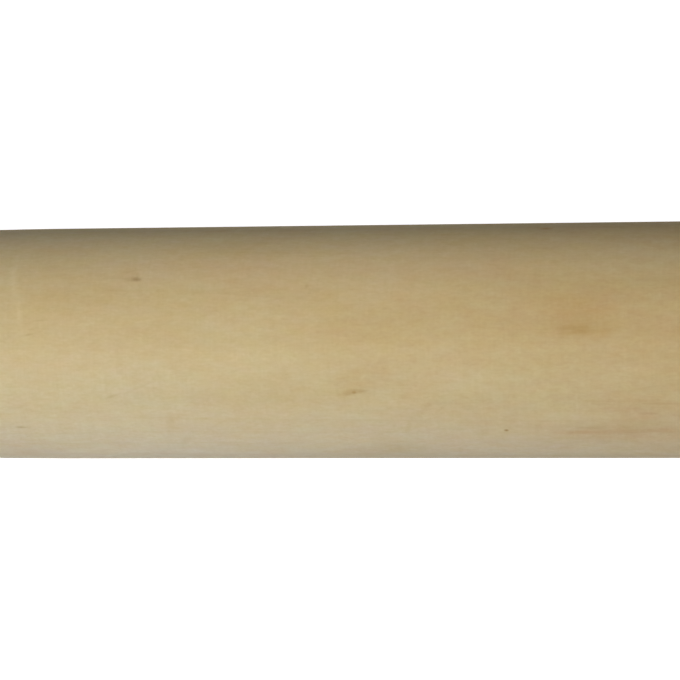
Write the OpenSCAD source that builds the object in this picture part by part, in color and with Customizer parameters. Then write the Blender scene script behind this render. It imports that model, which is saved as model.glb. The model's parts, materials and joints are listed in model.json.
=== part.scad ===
// A handle-less French rolling pin, turned in one piece from a single hardwood blank.
// The pin's axis lies along X, and the origin is the middle of that axis.

/* [Blank] */
// Overall length of the pin, from end face to end face
pin_length = 508; // [460:1:620]
// Diameter of the belly, the straight middle that does the rolling
belly_d = 44.45; // [38:0.05:54]

/* [Belly] */
// Length of the belly that is a true cylinder
belly_length = 200; // [120:1:240]
// How far the shoulder's curve reaches each way from the corner where belly and taper would meet
shoulder_reach = 34; // [6:1:48]

/* [Ends] */
// Diameter that each taper comes down to at its end face, before the end is rounded over
end_d = 28; // [26:0.5:34]
// Radius of the rounded end, between the taper and the flat end face
end_round_r = 9.5; // [2:0.5:12]

/* [Hidden] */
$fn = 180;
// Straight steps that each curve of the outline is turned in
shoulder_steps = 24;
end_steps = 24;

half_length = pin_length / 2;
belly_r = belly_d / 2;
end_r = end_d / 2;
// Where the straight lines of belly and taper would meet, as [radius, place along the pin]
shoulder_corner = [belly_r, belly_length / 2 + shoulder_reach];
// Half angle of the taper
taper_angle = atan((belly_r - end_r) / (half_length - shoulder_corner.y));
// The shoulder's curve touches the belly and the taper at shoulder_reach from their corner
shoulder_r = shoulder_reach / tan(taper_angle / 2);

// Points of an arc about centre, by the angle between the surface's normal and the pin's axis
function arc(centre, r, from, to, steps) = [
    for (i = [0 : steps])
        let (a = from + (to - from) * i / steps)
            centre + r * [sin(a), cos(a)]
];

// Half of the turned outline, from the middle of the end face to the end of the belly
function half_outline() =
    let (
        end_centre = [
            end_r + end_round_r * (tan(taper_angle) - 1 / cos(taper_angle)),
            half_length - end_round_r
        ],
        shoulder_centre = [belly_r - shoulder_r, belly_length / 2]
    )
    concat(
        [[0, half_length]],
        arc(end_centre, end_round_r, 0, 90 - taper_angle, end_steps),
        arc(shoulder_centre, shoulder_r, 90 - taper_angle, 90, shoulder_steps)
    );

// The same points on the other side of the middle, in the order that closes the outline
function mirrored(points) = [
    for (i = [len(points) - 1 : -1 : 0])
        [points[i].x, -points[i].y]
];

// The pin, with its outline turned about X
module turned_pin()
    color([0.83, 0.72, 0.53])
        rotate([0, 90, 0])
            rotate_extrude()
                polygon(concat(half_outline(), mirrored(half_outline())));

turned_pin();
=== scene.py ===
"""A handle-less rolling pin of pale hardwood, lying on a plain white table in soft studio light."""
import json
import math
from typing import NamedTuple

import bmesh
import bpy
from mathutils import Matrix, Vector


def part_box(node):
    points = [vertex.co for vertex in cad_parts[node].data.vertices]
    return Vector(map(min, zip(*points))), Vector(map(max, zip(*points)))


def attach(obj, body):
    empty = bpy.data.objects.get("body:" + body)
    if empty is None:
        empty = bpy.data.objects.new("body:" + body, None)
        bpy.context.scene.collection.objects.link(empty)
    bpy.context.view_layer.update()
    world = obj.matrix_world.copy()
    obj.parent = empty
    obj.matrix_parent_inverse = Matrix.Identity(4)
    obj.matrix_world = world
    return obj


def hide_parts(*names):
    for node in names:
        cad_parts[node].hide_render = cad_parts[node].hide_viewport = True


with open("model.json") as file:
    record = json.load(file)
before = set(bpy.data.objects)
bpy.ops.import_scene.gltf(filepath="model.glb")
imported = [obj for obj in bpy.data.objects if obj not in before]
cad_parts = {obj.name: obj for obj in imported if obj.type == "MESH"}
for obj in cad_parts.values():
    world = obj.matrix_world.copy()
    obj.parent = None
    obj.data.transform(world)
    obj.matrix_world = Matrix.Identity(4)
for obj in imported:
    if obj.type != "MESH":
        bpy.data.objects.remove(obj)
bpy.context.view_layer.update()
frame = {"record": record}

MM = 0.001
PIN_LINE = Vector((1, 0, 0))

# Sizes of the turned outline. The belly and the overall length come from the frame.
belly = next(m for m in frame["record"]["mounts"] if m["name"] == "belly")
belly_radius = belly["dims"]["r_mm"] * MM
belly_half = belly["dims"]["length_mm"] * MM / 2
pin_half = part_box("turned_pin")[1].x
shoulder_reach = 34 * MM
end_radius = 14 * MM
end_round = 9.5 * MM
taper = math.atan((belly_radius - end_radius) / (pin_half - belly_half - shoulder_reach))
shoulder_radius = shoulder_reach / math.tan(taper / 2)


def radius_at(along):
    """The radius of the belly, a shoulder or a taper, at a distance from the middle."""
    if along <= belly_half:
        return belly_radius
    if along <= belly_half + shoulder_radius * math.sin(taper):
        return belly_radius - shoulder_radius + math.sqrt(shoulder_radius ** 2 - (along - belly_half) ** 2)
    return end_radius + (pin_half - along) * math.tan(taper)


def out_from_axis(degrees):
    """The direction straight out from the pin's axis, at an angle up from the near side, which faces -Y."""
    a = math.radians(degrees)
    return Vector((0, -math.cos(a), math.sin(a)))


def on_surface(along, degrees):
    """A point of the surface, at a distance from the middle and an angle up from the near side."""
    return along * PIN_LINE + radius_at(abs(along)) * out_from_axis(degrees)


# Helpers that put things in the scene
def add_object(name, data):
    """Puts an object in the scene, at the origin."""
    obj = bpy.data.objects.new(name, data)
    bpy.context.scene.collection.objects.link(obj)
    return obj


def add_mesh(name, bm):
    """Puts a mesh in the scene and frees what it was built in."""
    mesh = bpy.data.meshes.new(name)
    bm.to_mesh(mesh)
    bm.free()
    return add_object(name, mesh)


def place(obj, right, up, back, at):
    """Turns an object so that its local axes lie along right, up and back, and puts it at a point."""
    turn = Matrix((right, up, back)).transposed().to_4x4()
    turn.translation = at
    obj.matrix_world = turn


# The camera stands on the near side, above the pin and a little past its middle,
# and looks down at the left half of the belly with a long lens.
LENS = 160
NEAREST_SEEN = 10 * MM
CAMERA_DEGREES_UP = 60
CAMERA_TURN = math.radians(8.35)
CAMERA_ROLL = math.radians(-0.367)
CAMERA_DISTANCE = 577.0 * MM
AIM_ALONG = -47.3 * MM
AIM_UP = 0.356 * MM


def make_camera():
    """The main view's camera, turned along the pin and rolled by a fraction of a degree."""
    toward = out_from_axis(CAMERA_DEGREES_UP)
    upright = out_from_axis(CAMERA_DEGREES_UP + 90)
    back = math.sin(CAMERA_TURN) * PIN_LINE + math.cos(CAMERA_TURN) * toward
    level = math.cos(CAMERA_TURN) * PIN_LINE - math.sin(CAMERA_TURN) * toward
    right = math.cos(CAMERA_ROLL) * level + math.sin(CAMERA_ROLL) * upright
    up = math.cos(CAMERA_ROLL) * upright - math.sin(CAMERA_ROLL) * level
    aim = AIM_ALONG * PIN_LINE + AIM_UP * upright
    camera = add_object("camera", bpy.data.cameras.new("camera"))
    camera.data.lens = LENS
    camera.data.clip_start = NEAREST_SEEN
    place(camera, right, up, back, aim + CAMERA_DISTANCE * back)
    bpy.context.scene.camera = camera


def add_area_light(name, watts, length, width):
    """Puts a rectangular light in the scene."""
    light = bpy.data.lights.new(name, "AREA")
    light.shape = "RECTANGLE"
    light.size = length
    light.size_y = width
    light.energy = watts
    return add_object(name, light)


def make_softbox(name, degrees, watts, width, length=1.6, distance=1.0):
    """A long softbox that runs along the pin, at an angle up from the near side of the table."""
    softbox = add_area_light(name, watts, length, width)
    back = out_from_axis(degrees)
    place(softbox, PIN_LINE, back.cross(PIN_LINE), back, distance * back + AIM_ALONG * PIN_LINE)


def make_card(name, watts, near, far, length=0.6, lift=0.5 * MM):
    """A bright card on the table beyond the pin. It lights the far low side, out of the viewer's sight."""
    card = add_area_light(name, watts, length, far - near)
    card.visible_camera = False
    card.visible_glossy = False
    down = Vector((0, 0, -1))
    middle = Vector((0, (near + far) / 2, lift - belly_radius))
    place(card, PIN_LINE, down.cross(PIN_LINE), down, middle)


# Helpers that every material and node group is made with
def add(tree, kind, inputs=None, **settings):
    """Adds a node, sets its settings, and gives each input a value or another node's output."""
    node = tree.nodes.new(kind)
    for name, value in settings.items():
        setattr(node, name, value)
    for key, value in (inputs or {}).items():
        if isinstance(value, bpy.types.NodeSocket):
            tree.links.new(value, node.inputs[key])
        else:
            node.inputs[key].default_value = value
    return node


def calc(tree, operation, *values):
    """The output of a Math node."""
    return add(tree, "ShaderNodeMath", dict(enumerate(values)), operation=operation).outputs[0]


def vector_calc(tree, operation, *values):
    """The vector output of a Vector Math node."""
    return add(tree, "ShaderNodeVectorMath", dict(enumerate(values)), operation=operation).outputs[0]


def dot(tree, a, b):
    """The dot product of two vectors."""
    return add(tree, "ShaderNodeVectorMath", {0: a, 1: b}, operation="DOT_PRODUCT").outputs["Value"]


def smooth_step(tree, value, low, high):
    """0 up to low, 1 from high on, and a smooth rise between them, which needs no clamp."""
    return add(tree, "ShaderNodeMapRange", {
        0: value, 1: low, 2: high, 3: 0.0, 4: 1.0,
    }, interpolation_type="SMOOTHSTEP", clamp=False).outputs[0]


def new_material(name):
    """A material and its node tree, still empty."""
    material = bpy.data.materials.new(name)
    material.use_nodes = True
    material.node_tree.nodes.clear()
    return material, material.node_tree


def new_group(name, inputs):
    """An empty node group with named inputs, each a default number or vector, and one output, Value."""
    group = bpy.data.node_groups.new(name, "ShaderNodeTree")
    for key, value in inputs.items():
        kind = "NodeSocketFloat" if isinstance(value, (int, float)) else "NodeSocketVector"
        group.interface.new_socket(key, in_out="INPUT", socket_type=kind).default_value = value
    group.interface.new_socket("Value", in_out="OUTPUT", socket_type="NodeSocketFloat")
    return group, add(group, "NodeGroupInput").outputs, add(group, "NodeGroupOutput").inputs["Value"]


# The room and the table are white where the camera, a reflection or a clear thing looks at them.
# The light that they throw on the pin is set apart from that.
WHITE = (1, 1, 1, 1)
ROOM_LIGHT = 0.09
TABLE_GLOW = 0.88
TABLE_WHITE = 0.68
TABLE_HALF = 0.6


def seen_directly(tree):
    """1 for rays of the camera, of reflections and of clear things, 0 for light that falls on things."""
    path = add(tree, "ShaderNodeLightPath")
    either = calc(tree, "MAXIMUM", path.outputs["Is Camera Ray"], path.outputs["Is Glossy Ray"])
    return calc(tree, "MAXIMUM", either, path.outputs["Is Transmission Ray"])


def make_room():
    """The world around the table, bright to look at and dim as a light."""
    world = bpy.data.worlds.new("room")
    world.use_nodes = True
    tree = world.node_tree
    tree.nodes.clear()
    strength = calc(tree, "MULTIPLY_ADD", seen_directly(tree), 1 - ROOM_LIGHT, ROOM_LIGHT)
    sky = add(tree, "ShaderNodeBackground", {"Color": WHITE, "Strength": strength})
    add(tree, "ShaderNodeOutputWorld", {"Surface": sky.outputs[0]})
    bpy.context.scene.world = world


def make_table():
    """The plain white table top that the pin lies on."""
    material, tree = new_material("table_white")
    matt = add(tree, "ShaderNodeBsdfDiffuse", {"Color": (TABLE_WHITE,) * 3 + (1,)})
    glow = add(tree, "ShaderNodeEmission", {
        "Color": WHITE,
        "Strength": calc(tree, "MULTIPLY", seen_directly(tree), TABLE_GLOW),
    })
    both = add(tree, "ShaderNodeAddShader", {0: matt.outputs[0], 1: glow.outputs[0]})
    add(tree, "ShaderNodeOutputMaterial", {"Surface": both.outputs[0]})
    bm = bmesh.new()
    bmesh.ops.create_grid(bm, x_segments=1, y_segments=1, size=TABLE_HALF)
    bmesh.ops.translate(bm, verts=bm.verts, vec=(0, 0, -belly_radius))
    table = add_mesh("table", bm)
    table.data.materials.append(material)


# The pin. Its mesh has rings along it, sides round it and steps over each rounded end. Each end face
# has rings too, at these shares of its radius, down to its middle.
RING_SPACING = 4.0 * MM
AROUND = 160
END_STEPS = 16
FACE_RINGS = (0.66, 0.33, 0)
SAME_POINT = 0.01 * MM

# The texture has two strips, cut along the underside: the left half of the pin, and above it the right.
# Points nearer to the axis than FACE_MIDDLE are the middle of an end face, which has no angle of its own.
STRIP_HALF = 0.25
STRIP_MARGIN = 0.004
FACE_MIDDLE = 0.1 * MM


def outline():
    """The turned outline, as points (along, radius) from the middle of one end face to the other's."""
    round_middle = end_radius + end_round * (math.tan(taper) - 1 / math.cos(taper))
    round_start = pin_half - end_round * (1 - math.sin(taper))
    steps = round(round_start / RING_SPACING)
    half = [(round_start * i / steps, radius_at(round_start * i / steps)) for i in range(steps + 1)]
    for i in range(1, END_STEPS + 1):
        a = taper + (math.pi / 2 - taper) * i / END_STEPS
        along = pin_half - end_round + end_round * math.sin(a)
        half.append((along, round_middle + end_round * math.cos(a)))
    half += [(pin_half, round_middle * share) for share in FACE_RINGS]
    return [(-x, r) for x, r in reversed(half[1:])] + half


def lay_out_strips(bm):
    """Unrolls each half of the pin into its strip of the texture."""
    layer = bm.loops.layers.uv.new("OFBake")
    for face in bm.faces:
        centre = face.calc_center_median()
        middle = math.atan2(centre.y, centre.z)
        side = math.copysign(1, centre.x)
        for loop in face.loops:
            x, y, z = loop.vert.co
            radius = math.hypot(y, z)
            turn = math.atan2(y, z) if radius > FACE_MIDDLE else middle
            turn -= 2 * math.pi * round((turn - middle) / (2 * math.pi))
            along = (abs(x) + belly_radius - radius) / (pin_half + belly_radius)
            loop[layer].uv = (
                STRIP_MARGIN + (1 - 2 * STRIP_MARGIN) * along,
                0.5 + side * (STRIP_HALF + (STRIP_HALF - STRIP_MARGIN) * turn / math.pi),
            )


def make_pin():
    """The outline, turned about the pin's line into one closed surface."""
    bm = bmesh.new()
    verts = [bm.verts.new((x, 0, r)) for x, r in outline()]
    edges = [bm.edges.new(pair) for pair in zip(verts, verts[1:])]
    bmesh.ops.spin(
        bm, geom=verts + edges, cent=(0, 0, 0), axis=PIN_LINE,
        angle=2 * math.pi, steps=AROUND, use_merge=True,
    )
    bmesh.ops.remove_doubles(bm, verts=bm.verts, dist=SAME_POINT)
    bmesh.ops.recalc_face_normals(bm, faces=bm.faces)
    lay_out_strips(bm)
    for face in bm.faces:
        face.smooth = True
    return add_mesh("turned_pin_wood", bm)


# The wood, as a solid. The grain runs along the pin, and its rings are parts of circles about a pith
# that lay outside the blank, on the far side and below. The pith leans by PITH_SLOPE, in Y and in Z.
PITH_DISTANCE = 75 * MM
PITH_DEGREES = 238
PITH_SLOPE = (0.012, 0.016)
RING_WIDTH = 2.4 * MM
RING_SWAY = 1.1 * MM

# Bare white wood, and what takes red, green and blue away from it, as powers of e
WHITE_WOOD = (0.70, 0.60, 0.38)
DARK = Vector((1.0, 1.35, 2.0))
GREY = Vector((1.0, 1.0, 1.0))
WARM = Vector((0.0, 0.27, 1.0))
RED = Vector((0.0, 0.8, 0.5))
DARK_EVERYWHERE = 0.272

# How bare sanded wood takes the light. Its roughness sways a little, and its fibres stand proud.
ROUGHNESS = 0.80
ROUGHNESS_SWAY = 0.03
SPECULAR = 0.08
FIBRE_HEIGHT = 0.004 * MM

# Noise keeps within about a quarter of its middle value, which is a half. This brings it to -1 to 1.
NOISE_STRETCH = 4.0
# How far apart in the noise two seeds lie, in metres
SEED_STEP = (0.731, 0.419, 0.223)
# Half the depth of every spot in mm, how many times its half sizes it takes to fade out,
# and the scale of the noise that breaks up its edge
SPOT_DEPTH = 4.0
SPOT_REACH = 1.8
SPOT_EDGE_SCALE = 2.6


class Spot(NamedTuple):
    """A soft spot in the wood's colour, or of painted light: where it lies, and how dark, grey, warm and
    red it is against the rest.
    """
    along: float  # mm from the middle of the pin
    degrees: float  # up from the near side
    half_length: float  # mm
    half_width: float  # mm
    tilt: float = 0.0  # degrees from the grain
    ragged: float = 0.8  # how far its edge is broken up
    dark: float = 0.0
    grey: float = 0.0
    warm: float = 0.0
    red: float = 0.0


# Marks of this blank
MARKS = {
    # The small knot on top
    "small_knot_heart": Spot(-82.9, 92.4, 0.75, 0.40, ragged=0.7, dark=0.14, grey=0.10),
    "small_knot_body": Spot(-83.7, 92.4, 1.6, 0.50, dark=0.09, grey=0.04),
    "small_knot_tail": Spot(-86.8, 93.2, 3.0, 0.35, tilt=2, dark=0.03),
    "small_knot_bump": Spot(-82.7, 94.6, 0.35, 0.55, ragged=0.5, dark=0.06, grey=0.02),
    "small_knot_crease": Spot(-83.6, 100.4, 0.35, 3.0, ragged=0.6, dark=0.03),
    "small_knot_glow": Spot(-86.3, 90.0, 1.6, 0.7, tilt=10, ragged=0.5, dark=-0.025),
    # The larger knot, lower on the near side
    "large_knot_heart": Spot(
        -41.8, 35.2, 0.36, 0.26, tilt=8, ragged=0.6, dark=0.17, grey=0.05, warm=0.06, red=0.03
    ),
    "large_knot_body": Spot(-42.0, 35.4, 1.9, 0.55, tilt=8, dark=0.11, grey=0.02, warm=0.03, red=0.02),
    "large_knot_wing": Spot(-40.2, 36.0, 0.9, 0.28, tilt=2, ragged=0.7, dark=0.07, grey=0.02),
    "large_knot_flame": Spot(-43.4, 34.2, 1.0, 0.30, tilt=4, ragged=0.7, dark=0.05, grey=0.02),
    "large_knot_smoke": Spot(-41.0, 42.0, 5.0, 2.6, tilt=14, ragged=0.9, dark=0.030, warm=0.04, red=0.02),
    # The brown patch
    "brown_patch_heart": Spot(0.0, 64.9, 4.4, 1.1, ragged=1.0, dark=0.055, warm=0.06, red=0.015),
    "brown_patch_core": Spot(-0.1, 65.2, 1.8, 0.8, dark=0.035, warm=0.04),
    "brown_patch": Spot(-1.0, 69.5, 5.2, 3.4, ragged=0.9, dark=0.030, warm=0.06, red=0.04),
    "brown_patch_above": Spot(0.2, 77.0, 6.0, 3.0, ragged=0.9, dark=0.012, warm=0.05, red=0.03),
    # Red streaks and dark dashes, low and to the right
    "red_streak": Spot(3.0, 10.6, 6.0, 0.65, ragged=0.9, dark=0.04, warm=0.05, red=0.035),
    "red_streak_end": Spot(14.5, 11.5, 7.0, 0.65, ragged=0.9, dark=0.04, warm=0.05, red=0.02),
    "red_streak_cloud": Spot(7.0, 9.0, 11.0, 2.4, ragged=0.9, dark=0.03, warm=0.02, red=0.04),
    "red_streak_right": Spot(13.0, 24.0, 7.0, 2.6, ragged=0.9, dark=0.02, warm=0.02, red=0.04),
    "dash_right_upper": Spot(3.5, 28.5, 1.6, 0.2, ragged=0.6, dark=0.05),
    "dash_right_middle": Spot(14.4, 28.6, 4.0, 0.24, ragged=0.9, dark=0.06),
    "dash_right_inner": Spot(9.4, 25.9, 1.5, 0.22, dark=0.05),
    "red_streak_start": Spot(-1.6, 10.4, 2.0, 0.55, dark=0.045, warm=0.05),
    "dash_right_low": Spot(12.0, 22.9, 1.4, 0.3, ragged=0.6, dark=0.07, grey=0.02),
    "dash_right_soft": Spot(0.3, 14.3, 3.2, 0.5, dark=0.04),
    "dash_right_lowest": Spot(1.3, 13.7, 2.2, 0.3, ragged=0.9, dark=0.05),
    # Other dashes and dots, and a scratch
    "dash_low_left": Spot(-106.0, 15.0, 0.9, 0.25, ragged=0.6, dark=0.14, grey=0.06),
    "dash_low_left_halo": Spot(-106.3, 15.0, 2.4, 0.6, dark=0.05),
    "dash_left_upper": Spot(-100.4, 71.3, 1.2, 0.16, ragged=0.6, dark=0.06, grey=0.02),
    "dash_left_middle": Spot(-102.7, 64.4, 0.7, 0.2, tilt=12, ragged=0.5, dark=0.09, grey=0.03),
    "dot_low_right": Spot(-14.2, 12.1, 0.34, 0.26, ragged=0.4, dark=0.45, grey=0.06),
    "dot_middle": Spot(-50.6, 87.9, 0.3, 0.4, tilt=-20, ragged=0.5, dark=0.09, grey=0.02),
    "dot_top_right": Spot(-7.2, 129.8, 1.0, 0.5, ragged=0.6, dark=0.16, warm=0.12, red=0.08),
    "dash_middle": Spot(-54.5, 71.0, 0.6, 0.25, ragged=0.6, dark=0.05),
    "scratch_right": Spot(9.0, 30.0, 9.0, 0.25, ragged=0.7, dark=0.030),
    # Faint curls, creases and pale lines
    "curl_low": Spot(-32.3, 15.0, 0.5, 2.4, tilt=-18, ragged=0.7, dark=0.03),
    "curl_middle": Spot(-28.8, 26.4, 0.5, 1.8, tilt=-40, ragged=0.7, dark=0.04),
    "curl_end": Spot(-26.4, 29.2, 2.4, 0.35, tilt=5, ragged=0.7, dark=0.05),
    "hook_left": Spot(-77.3, 16.0, 0.7, 3.2, tilt=-8, ragged=0.7, dark=0.04),
    "hook_left_end": Spot(-75.0, 4.0, 0.7, 2.2, tilt=-30, ragged=0.7, dark=0.05),
    "crease_low": Spot(-87.4, 33.6, 1.5, 0.26, tilt=22, ragged=0.6, dark=0.09),
    "crease_middle": Spot(-82.0, 38.4, 3.4, 0.3, tilt=26, ragged=0.9, dark=0.04),
    "crease_high": Spot(-75.0, 43.5, 3.0, 0.3, tilt=24, ragged=0.9, dark=0.018),
    "pale_line_top": Spot(-106.3, 92.0, 0.6, 6.0, tilt=4, ragged=0.4, dark=-0.045),
    "pale_line_low": Spot(-104.6, 75.0, 0.5, 3.6, tilt=10, ragged=0.4, dark=-0.065),
    # The far side, the underside, the shoulders and the tapers
    "far_knot_heart": Spot(38.0, 196.0, 0.7, 0.35, tilt=4, ragged=0.7, dark=0.20, grey=0.10, warm=0.05),
    "far_knot_body": Spot(37.2, 196.4, 2.2, 0.65, tilt=4, dark=0.10, grey=0.03, warm=0.04),
    "far_brown_patch": Spot(-52.0, 171.0, 6.5, 3.0, ragged=0.9, dark=0.05, warm=0.08, red=0.03),
    "far_brown_core": Spot(-54.5, 168.0, 2.6, 0.8, ragged=0.9, dark=0.05, warm=0.05, red=0.01),
    "far_dash": Spot(-118.0, 214.0, 1.6, 0.3, ragged=0.6, dark=0.10, grey=0.03),
    "under_streak": Spot(86.0, 258.0, 12.0, 0.8, ragged=0.9, dark=0.05, warm=0.08, red=0.02),
    "right_knot_heart": Spot(127.0, 62.0, 0.6, 0.32, tilt=6, ragged=0.7, dark=0.22, grey=0.08, warm=0.05),
    "right_knot_body": Spot(126.2, 62.2, 2.0, 0.6, tilt=6, dark=0.10, grey=0.03, warm=0.03),
    "right_dash": Spot(186.0, 118.0, 2.4, 0.3, dark=0.08, warm=0.03),
    "left_streak": Spot(-176.0, 38.0, 11.0, 0.9, ragged=0.9, dark=0.04, warm=0.07, red=0.02),
    "left_dot": Spot(-208.0, 84.0, 0.5, 0.3, ragged=0.5, dark=0.28, grey=0.05),
}

# Slow changes of tone, and long bands
CLOUDS = {
    # Shades and lights
    "left_shade": Spot(-88, 82, 15, 3.5, dark=0.025),
    "top_shade": Spot(-65, 112, 10, 3.0, dark=0.030, warm=0.02),
    "middle_shade": Spot(-39, 63, 9, 3.2, dark=0.025, warm=0.02),
    "low_shade": Spot(-55, 34, 7, 3.0, dark=0.030, warm=0.03),
    "low_spot": Spot(-35, -4, 4, 3.0, dark=0.045, grey=0.01, warm=0.02),
    "low_spot_halo": Spot(-37, -7, 9, 4.0, dark=0.020),
    "corner_shade": Spot(-106, -5, 6, 4.0, dark=0.030),
    "middle_light": Spot(-30, 84, 15, 2.2, dark=-0.025),
    "centre_light": Spot(-61, 67, 11, 2.6, dark=-0.025, warm=-0.03),
    "right_light": Spot(0, 115, 20, 8.0, dark=-0.030),
    "knot_light": Spot(-23, 42, 5, 3.0, dark=-0.020, warm=-0.02),
    # Warmer, cooler and redder places
    "warm_top_left": Spot(-70, 105, 10, 3.5, warm=0.05),
    "warm_top": Spot(-50, 104, 7, 3.0, warm=0.05, red=0.01),
    "warm_low": Spot(-42, 33, 14, 4.0, warm=0.025),
    "cool_low_left": Spot(-84, 42, 24, 4.5, warm=-0.03),
    "cool_low": Spot(-40, 38, 60, 7.0, ragged=0.3, warm=-0.03),
    "cool_top_left": Spot(-104, 124, 9, 5.0, ragged=0.6, warm=-0.06),
    "red_top": Spot(-48, 98, 34, 3.6, red=0.045),
    # Broader shades and lights; the two long bands along the upper front are painted light
    "low_light": Spot(-60, 53, 9, 2.0, ragged=0.6, dark=-0.03),
    # Painted light: lighter and less grey at fixed angles round the upper front, where more light falls
    "upper_painted_light": Spot(-45, 112, 75, 10.7, ragged=0.1, grey=-0.042),
    "broad_painted_light": Spot(-20, 92, 60, 8.5, ragged=0.2, dark=-0.056),
    "low_right_shade": Spot(12, 20, 11, 6.0, ragged=0.6, dark=0.032),
    "low_left_shade": Spot(-82, 34, 15, 4.0, ragged=0.6, dark=0.02),
    # Warmer and cooler places again
    "warm_left": Spot(-98, 82, 10, 4.0, warm=0.06),
    "warm_right": Spot(-16, 115, 9, 3.5, warm=0.05, red=0.01),
    "cool_right": Spot(13, 105, 7, 4.5, warm=-0.08),
    "cool_left": Spot(-83, 44, 8, 4.0, warm=-0.04),
    "cool_middle": Spot(-66, 65, 7, 3.0, warm=-0.04, red=-0.01),
    # Long bands along the grain
    "light_band_middle": Spot(-51, 55.8, 43, 1.4, ragged=0.4, dark=-0.018),
    "light_band_upper": Spot(-36, 81.5, 12, 1.6, ragged=0.5, dark=-0.020),
    "light_band_right": Spot(4, 74.8, 18, 1.4, ragged=0.5, dark=-0.018),
    "light_band_top": Spot(-6, 96.2, 26, 1.7, tilt=-1.4, ragged=0.5, dark=-0.022),
    "light_band_low": Spot(-50, 5.5, 24, 1.7, ragged=0.5, dark=-0.016),
    "light_band_low_right": Spot(3, 21.5, 15, 1.4, ragged=0.5, dark=-0.016),
    "light_band_knot": Spot(-37, 30, 8, 1.3, ragged=0.5, dark=-0.014),
    "dark_band_right": Spot(-8, 66.8, 34, 1.4, tilt=-1.8, ragged=0.5, dark=0.018),
    "dark_band_top_right": Spot(10, 87.8, 11, 1.4, ragged=0.5, dark=0.027),
    "dark_band_near_patch": Spot(-5, 49.8, 10, 1.5, ragged=0.5, dark=0.017),
    "dark_band_knot": Spot(-37, 40, 9, 2.6, ragged=0.5, dark=0.014),
    "dark_band_left": Spot(-69, 31.8, 26, 1.4, ragged=0.5, dark=0.017),
    "dark_band_low": Spot(-50, 14, 32, 1.2, ragged=0.5, dark=0.017),
    "dark_band_inner": Spot(-5, 31, 8, 1.2, ragged=0.5, dark=0.017),
    "dark_band_low_right": Spot(-4, 3.2, 11, 2.0, ragged=0.5, dark=0.022),
    "dark_band_lowest": Spot(3, -2.0, 14, 1.6, ragged=0.5, dark=0.020),
    "light_band_left": Spot(-101, 72.5, 9, 1.5, ragged=0.5, dark=-0.017),
    "light_band_left_low": Spot(-101, 52, 9, 1.5, ragged=0.5, dark=-0.013),
    "light_band_right_low": Spot(10, 46.3, 9, 1.3, ragged=0.5, dark=-0.017),
    "light_band_patch": Spot(-5, 70.8, 8, 1.4, ragged=0.5, dark=-0.012),
    "dark_band_left_upper": Spot(-100, 61, 12, 1.5, ragged=0.5, dark=0.013),
    "dark_band_left_low": Spot(-101, 25.9, 9, 1.1, ragged=0.5, dark=0.018),
    "dark_band_streak": Spot(10, 15.2, 10, 1.3, ragged=0.5, dark=0.021),
    # A broad warm tone along the top
    "warm_upper": Spot(-45, 92, 75, 9.0, ragged=0.2, warm=0.035, red=0.008),
}


def make_streaks_group():
    """Noise that is drawn out along the grain, from -1 to 1. Size is the length and widths of a streak."""
    group, given, result = new_group("streaks", {
        "Vector": (0, 0, 0), "Start": (0, 0, 0), "Size": (1, 1, 1), "Detail": 1.0,
    })
    at = add(group, "ShaderNodeMapping", vector_type="TEXTURE", inputs={
        "Vector": given["Vector"], "Location": given["Start"], "Scale": given["Size"],
    }).outputs[0]
    noise = add(group, "ShaderNodeTexNoise", {"Vector": at, "Scale": 1.0, "Detail": given["Detail"]})
    stretched = calc(group, "MULTIPLY_ADD", noise.outputs[0], NOISE_STRETCH, -NOISE_STRETCH / 2)
    group.links.new(stretched, result)
    return group


def make_spot_group():
    """A soft spot in the wood: 1 at its centre, fading to 0 at Size, with its edge broken up by Ragged."""
    group, given, result = new_group("soft_spot", {
        "Vector": (0, 0, 0), "Centre": (0, 0, 0), "Turn": (0, 0, 0), "Size": (1, 1, 1), "Ragged": 0.0,
    })
    at = add(group, "ShaderNodeMapping", vector_type="TEXTURE", inputs={
        "Vector": given["Vector"],
        "Location": given["Centre"],
        "Rotation": given["Turn"],
        "Scale": given["Size"],
    }).outputs[0]
    noise = add(group, "ShaderNodeTexNoise", {"Vector": at, "Scale": SPOT_EDGE_SCALE, "Detail": 2.0})
    about_zero = calc(group, "MULTIPLY_ADD", noise.outputs[0], 2.0, -1.0)
    uneven = calc(group, "MULTIPLY_ADD", about_zero, given["Ragged"], 1.0)
    ball = add(group, "ShaderNodeTexGradient", {"Vector": at}, gradient_type="SPHERICAL").outputs["Fac"]
    group.links.new(smooth_step(group, calc(group, "MULTIPLY", ball, uneven), 0.0, 1.0), result)
    return group


def make_rings_group():
    """How far through a year's ring a point lies: 0 where it starts, 1 in the late wood that ends it."""
    group, given, result = new_group("rings", {"Vector": (0, 0, 0), "Bulge": 0.0})
    parts = add(group, "ShaderNodeSeparateXYZ", {0: given["Vector"]}).outputs
    pith = PITH_DISTANCE * out_from_axis(PITH_DEGREES)
    square = 0.0
    for part, centre, slope in zip(parts[1:], pith.yz, PITH_SLOPE):
        offset = calc(group, "SUBTRACT", part, calc(group, "MULTIPLY_ADD", parts[0], slope, centre))
        square = calc(group, "MULTIPLY_ADD", offset, offset, square)
    from_pith = calc(group, "ADD", calc(group, "SQRT", square), given["Bulge"])
    group.links.new(calc(group, "FRACT", calc(group, "DIVIDE", from_pith, RING_WIDTH)), result)
    return group


def spot_turn(degrees, tilt):
    """The turn of a spot that lies on the surface at an angle about the pin, tilted from the grain."""
    turn = Matrix.Rotation(math.radians(90 - degrees), 3, "X") @ Matrix.Rotation(math.radians(tilt), 3, "Z")
    return tuple(turn.to_euler("XYZ"))


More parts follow.
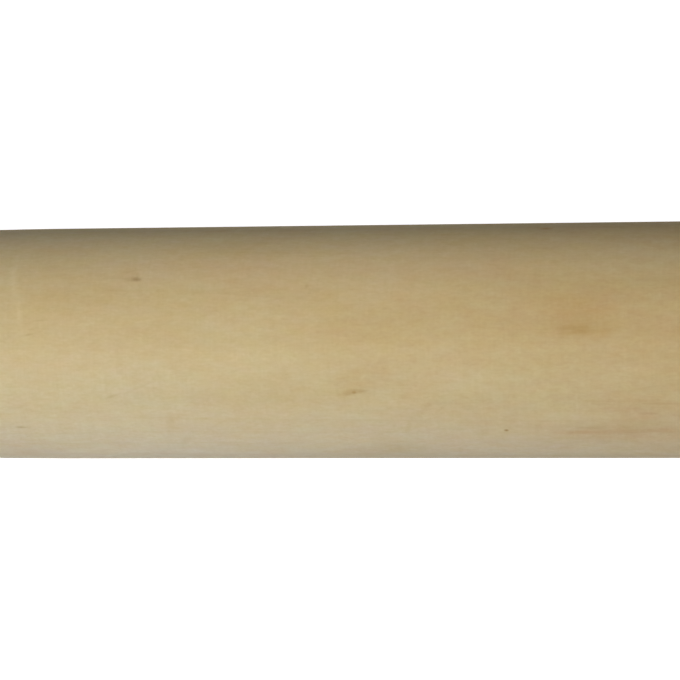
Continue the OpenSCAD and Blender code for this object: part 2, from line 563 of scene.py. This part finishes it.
class Wood:
    """The wood's node tree in the making, and what it takes from the colour of white wood so far."""

    def __init__(self, tree):
        self.tree = tree
        self.streaks = make_streaks_group()
        self.soft_spot = make_spot_group()
        self.rings = make_rings_group()
        self.point = add(tree, "ShaderNodeTexCoord").outputs["Object"]
        self.taken = DARK_EVERYWHERE * DARK

    def streak(self, length, width, detail=1.0, seed=0.0):
        """Streaks of a length and width in mm. Each seed moves them to another part of the noise."""
        return add(self.tree, "ShaderNodeGroup", node_tree=self.streaks, inputs={
            "Vector": self.point,
            "Start": tuple(seed * step for step in SEED_STEP),
            "Size": (length * MM, width * MM, width * MM),
            "Detail": detail,
        }).outputs[0]

    def strength_of(self, spot):
        """Near 1 in the heart of a spot, and 0 outside it."""
        reach = SPOT_REACH * MM
        return add(self.tree, "ShaderNodeGroup", node_tree=self.soft_spot, inputs={
            "Vector": self.point,
            "Centre": on_surface(spot.along * MM, spot.degrees),
            "Turn": spot_turn(spot.degrees, spot.tilt),
            "Size": (spot.half_length * reach, spot.half_width * reach, SPOT_DEPTH * reach),
            "Ragged": spot.ragged,
        }).outputs[0]

    def year(self):
        """How far through its year's ring a point lies. The rings sway a little along the pin."""
        sway = calc(self.tree, "MULTIPLY", self.streak(90, 14, seed=3), RING_SWAY)
        given = {"Vector": self.point, "Bulge": sway}
        return add(self.tree, "ShaderNodeGroup", given, node_tree=self.rings).outputs[0]

    def stain(self, value, dark=0.0, grey=0.0, warm=0.0, red=0.0):
        """Makes the wood darker, greyer, warmer or redder where a value is high."""
        amount = dark * DARK + grey * GREY + warm * WARM + red * RED
        given = {0: amount, "Scale": value}
        part = add(self.tree, "ShaderNodeVectorMath", given, operation="SCALE").outputs[0]
        self.taken = vector_calc(self.tree, "ADD", part, self.taken)

    def colour(self):
        """The colour of white wood after all that is taken from it."""
        tree = self.tree
        taken = add(tree, "ShaderNodeSeparateXYZ", {0: self.taken}).outputs
        channels = [
            calc(tree, "MULTIPLY", calc(tree, "EXPONENT", calc(tree, "MULTIPLY", part, -1.0)), white)
            for part, white in zip(taken, WHITE_WOOD)
        ]
        return add(tree, "ShaderNodeCombineColor", dict(enumerate(channels))).outputs[0]


def stain_fibres(wood):
    """Fibres and flecks, and faint sanding lines that run round the pin."""
    wood.stain(wood.streak(14, 1.3, 2.0, seed=4), dark=0.007)
    wood.stain(wood.streak(2.4, 1.3, 2.0, seed=5), dark=0.027)
    wood.stain(wood.streak(1.3, 0.4, 1.0, seed=6), dark=0.022)
    wood.stain(wood.streak(0.7, 0.6, 1.0, seed=15), dark=0.018)
    wood.stain(smooth_step(wood.tree, wood.streak(1.6, 0.25, 1.0, seed=16), 0.7, 1.2), dark=0.05)
    wood.stain(wood.streak(0.5, 9.0, 1.0, seed=8), dark=0.010)


def stain_streaks(wood):
    """Broad and narrow streaks of tone."""
    wood.stain(wood.streak(110, 22, seed=11), dark=0.03, warm=0.02)
    wood.stain(wood.streak(38, 8, 2.0, seed=1), dark=0.018)
    wood.stain(wood.streak(16, 8, 1.0, seed=2), warm=0.035)
    wood.stain(wood.streak(12, 7, 1.0, seed=7), red=0.024)
    wood.stain(wood.streak(4.5, 1.8, 2.0, seed=21), warm=0.06)
    wood.stain(wood.streak(4.0, 2.0, 2.0, seed=22), red=0.032)


def stain_painted_light_and_tone(wood):
    """Painted sheen and light round the pin, and a tone that darkens along it."""
    tree = wood.tree
    along = dot(tree, wood.point, PIN_LINE)
    # Painted sheen and bounce light round the pin: warmest near the top, cooler towards the far top and low
    # on the near side, less red low on the near side, and painted paler at the bottom of that side, where
    # the table's light falls
    far_top = dot(tree, wood.point, out_from_axis(degrees=150.5) / belly_radius)
    wood.stain(far_top, warm=0.158)
    wood.stain(calc(tree, "MULTIPLY", far_top, far_top), warm=-0.32)
    wood.stain(smooth_step(tree, far_top, 0.2, -0.5), red=-0.020)
    # Painted light: the bottom of the near side is made paler, as if the table lit it more
    wood.stain(smooth_step(tree, far_top, -0.4, -1.0), dark=-0.045, warm=0.035, red=0.032)
    # Darker from left to right
    wood.stain(smooth_step(tree, along, -95 * MM, 50 * MM), dark=0.205, warm=-0.02)
    # Painted light: a little paler underneath and low on the far side, to make up for the shade there
    low_back = dot(tree, wood.point, out_from_axis(degrees=225) / belly_radius)
    wood.stain(smooth_step(tree, low_back, 0.0, 1.0), dark=-0.12)


def stain_late_wood(wood, year):
    """The late wood of each ring, stronger in some places than in others."""
    late = calc(wood.tree, "POWER", year, 6.0)
    strength = smooth_step(wood.tree, wood.streak(60, 9, seed=9), -0.6, 0.8)
    wood.stain(calc(wood.tree, "MULTIPLY", late, strength), dark=0.035)


def stain_end_grain(wood, year):
    """Where the turning cuts across the fibres, on the rounded ends: darker, with rings and open pores."""
    tree = wood.tree
    normal = add(tree, "ShaderNodeTexCoord").outputs["Normal"]
    cut_across = smooth_step(tree, calc(tree, "ABSOLUTE", dot(tree, normal, PIN_LINE)), 0.25, 0.95)
    pores = smooth_step(tree, wood.streak(9.0, 0.22, 1.0, seed=12), 0.55, 1.0)
    ring_mark = calc(tree, "MULTIPLY_ADD", calc(tree, "POWER", year, 3.0), 0.20, 0.14)
    end_grain = calc(tree, "MULTIPLY_ADD", pores, 0.15, ring_mark)
    wood.stain(calc(tree, "MULTIPLY", cut_across, end_grain), dark=1.0, warm=0.2)


def make_hardwood():
    """Bare sanded wood, with fibres that stand a little proud and a roughness that sways a little."""
    material, tree = new_material("bare_hardwood")
    wood = Wood(tree)
    # The spots come first and what needs the plain coordinates last,
    # because Cycles then holds few values at a time
    for spot in (*CLOUDS.values(), *MARKS.values()):
        wood.stain(wood.strength_of(spot), spot.dark, spot.grey, spot.warm, spot.red)
    stain_fibres(wood)
    stain_streaks(wood)
    stain_painted_light_and_tone(wood)
    year = wood.year()
    stain_late_wood(wood, year)
    stain_end_grain(wood, year)
    colour = wood.colour()
    fibres = add(tree, "ShaderNodeBump", {
        "Height": wood.streak(5.0, 0.4, 1.0, seed=13), "Distance": FIBRE_HEIGHT,
    }).outputs[0]
    finish = wood.streak(20, 4.0, 1.0, seed=14)
    surface = add(tree, "ShaderNodeBsdfPrincipled", {
        "Base Color": colour,
        "Roughness": calc(tree, "MULTIPLY_ADD", finish, ROUGHNESS_SWAY, ROUGHNESS),
        "Specular IOR Level": SPECULAR,
        "Normal": fibres,
    })
    add(tree, "ShaderNodeOutputMaterial", {"Surface": surface.outputs[0]})
    return material


make_camera()
make_softbox("key_softbox", degrees=51, watts=12.3, width=0.4)
make_softbox("far_softbox", degrees=112, watts=0.7, width=0.4)
make_card("far_card", watts=0.125, near=28 * MM, far=76 * MM)
make_room()
make_table()

pin = make_pin()
pin.data.materials.append(make_hardwood())
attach(pin, "root")
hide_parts("turned_pin")

bpy.context.scene.view_settings.view_transform = "Standard"
